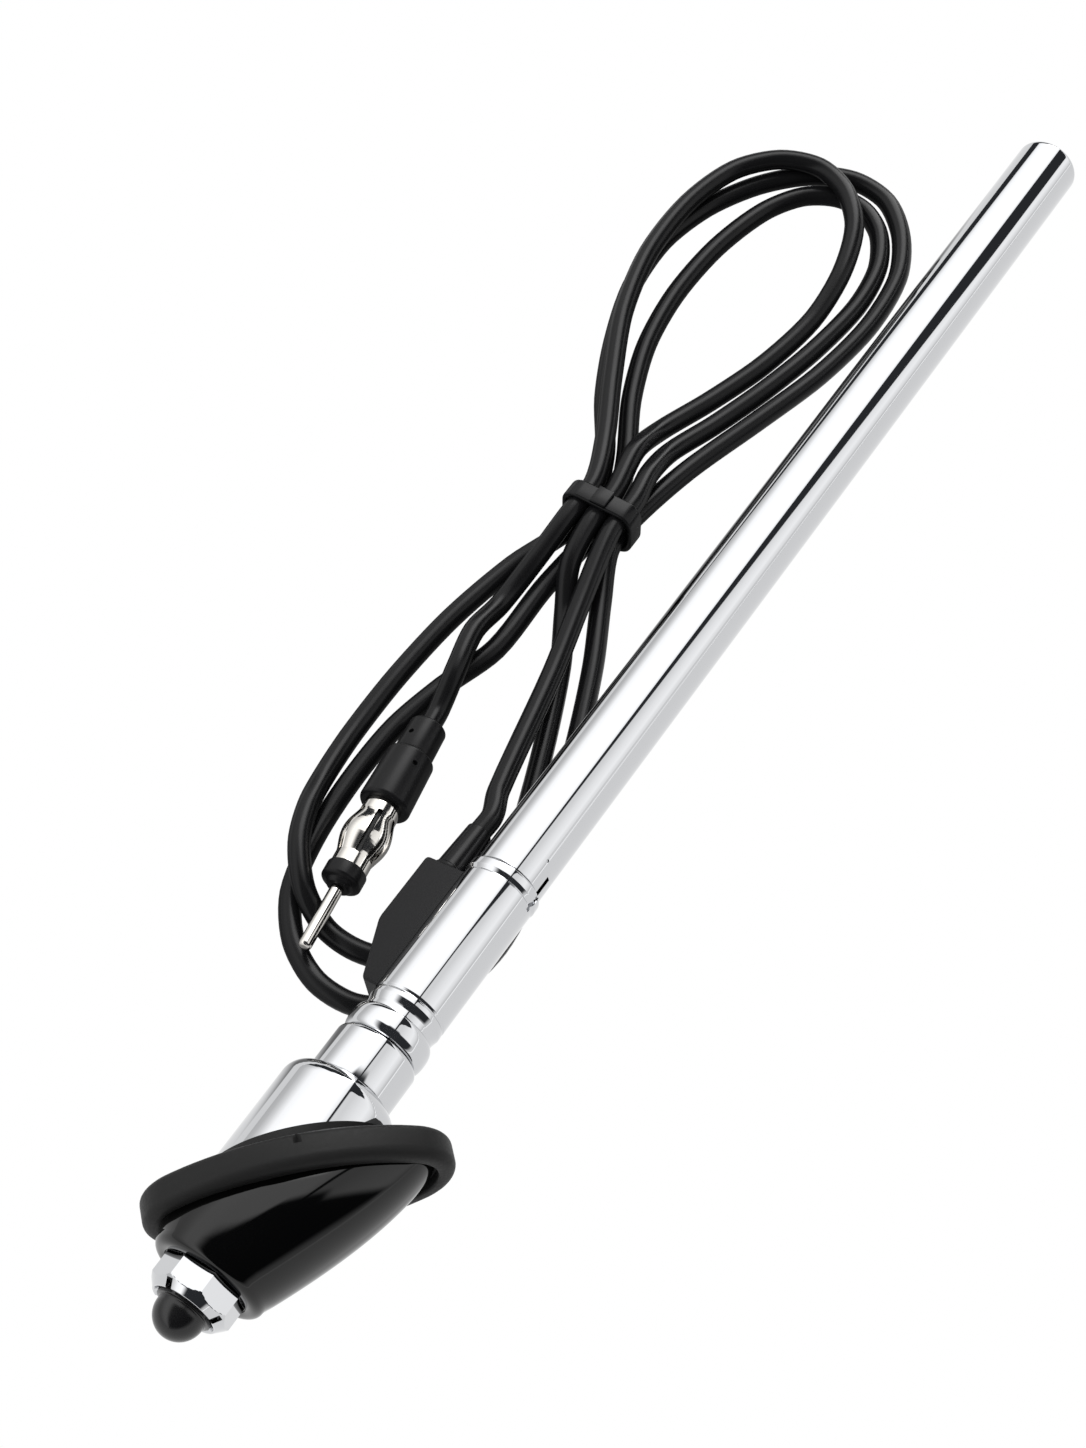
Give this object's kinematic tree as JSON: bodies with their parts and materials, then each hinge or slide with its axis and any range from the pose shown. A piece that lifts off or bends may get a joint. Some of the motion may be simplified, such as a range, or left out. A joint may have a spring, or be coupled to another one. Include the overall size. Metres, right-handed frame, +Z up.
{
  "type": "car mast aerial",
  "caption": "Telescopic car mast aerial with a slanted wing pedestal, a chromed tube and a folded lead with an aerial plug.",
  "frame": {"origin": "middle of the aerial's footprint on the surface that it lies on, its lead left out", "axes": "+X runs from the mast's tip towards the tube's far end, +Y towards the lead, +Z up"},
  "size_m": [0.3734, 0.101, 0.0341],
  "materials": {
    "chrome": "bright chrome plating",
    "mast_steel": "polished plated steel",
    "neck_steel": "plain machined steel",
    "nickel": "nickel plate",
    "brass": "plain turned brass",
    "gloss_black": "gloss black moulding",
    "black_plastic": "satin black moulding",
    "plug_sleeve": "satin black moulding",
    "white_plastic": "natural plastic",
    "rubber": "matt black rubber",
    "lead_jacket": "satin black jacket",
    "tie": "black tie"
  },
  "bodies": {
    "base": {"gland_nut": "chrome", "pedestal": "gloss_black", "gasket": "rubber", "cup_pad": "rubber", "clamp_cup": "chrome", "neck_sleeve": "chrome", "threaded_neck": "neck_steel", "top_guide": "black_plastic", "body_tube": "chrome", "outer_tube": "chrome", "end_plug": "black_plastic", "guide_tube": "white_plastic", "insulator_bush": "white_plastic", "contact_ring": "brass", "contact_strip": "brass", "cable_box": "black_plastic", "box_lid": "black_plastic", "strain_relief": "lead_jacket", "lead": "lead_jacket", "cable_tie": "tie", "plug_pin": "nickel", "plug_insulator": "black_plastic", "plug_barrel": "nickel", "plug_boot": "plug_sleeve", "plug_tail": "plug_sleeve"},
    "mast_1": {"mast_tube_1": "mast_steel", "mast_foot": "white_plastic"},
    "mast_2": {"mast_tube_2": "mast_steel", "mast_bush_2": "brass"},
    "mast_3": {"mast_tube_3": "mast_steel", "mast_bush_3": "brass"},
    "mast_4": {"mast_rod": "mast_steel", "mast_bush_4": "brass", "tip_button": "gloss_black"}
  },
  "joints": [
    {"name": "mast_slide_1", "type": "slide", "parent": "base", "child": "mast_1", "axis": [-0.9996, 0, 0.0275], "range_m": [0, 0.236]},
    {"name": "mast_slide_2", "type": "slide", "parent": "mast_1", "child": "mast_2", "axis": [-0.9996, 0, 0.0275], "range_m": [0, 0.322]},
    {"name": "mast_slide_3", "type": "slide", "parent": "mast_2", "child": "mast_3", "axis": [-0.9996, 0, 0.0275], "range_m": [0, 0.316]},
    {"name": "mast_slide_4", "type": "slide", "parent": "mast_3", "child": "mast_4", "axis": [-0.9996, 0, 0.0275], "range_m": [0, 0.31]}
  ]
}
